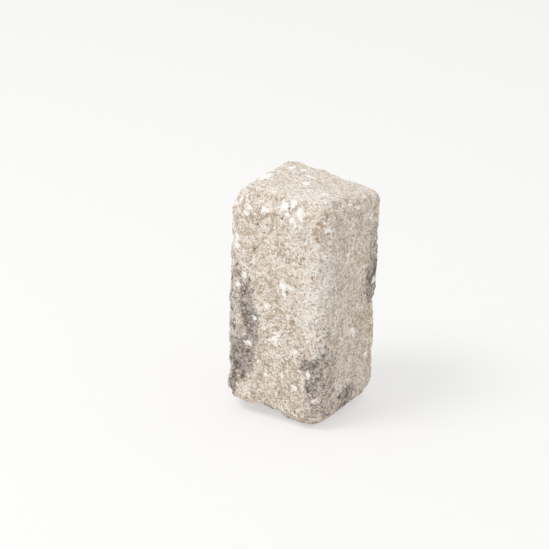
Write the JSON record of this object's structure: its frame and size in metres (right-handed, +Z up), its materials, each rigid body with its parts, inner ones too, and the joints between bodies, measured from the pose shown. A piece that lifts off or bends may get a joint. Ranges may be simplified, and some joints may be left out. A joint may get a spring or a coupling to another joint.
{
  "type": "palisade edging block",
  "caption": "Short upright concrete palisade block with tumbled, chipped edges, set side by side in a row to edge a bed, path or small step in level.",
  "frame": {"origin": "middle of the foot, on the plane that the block stands on", "axes": "+Z up, along the block's length; +X along the row of blocks, to the right of someone who faces the front; -Y out of the front face"},
  "size_m": [0.12, 0.12, 0.25],
  "materials": {
    "tumbled_concrete": "pressed and tumbled concrete, matt and open-pored, cream with grey clouds, pale grains and white lime scuffs"
  },
  "bodies": {
    "root": {"palisade_block": "tumbled_concrete"}
  },
  "joints": []
}
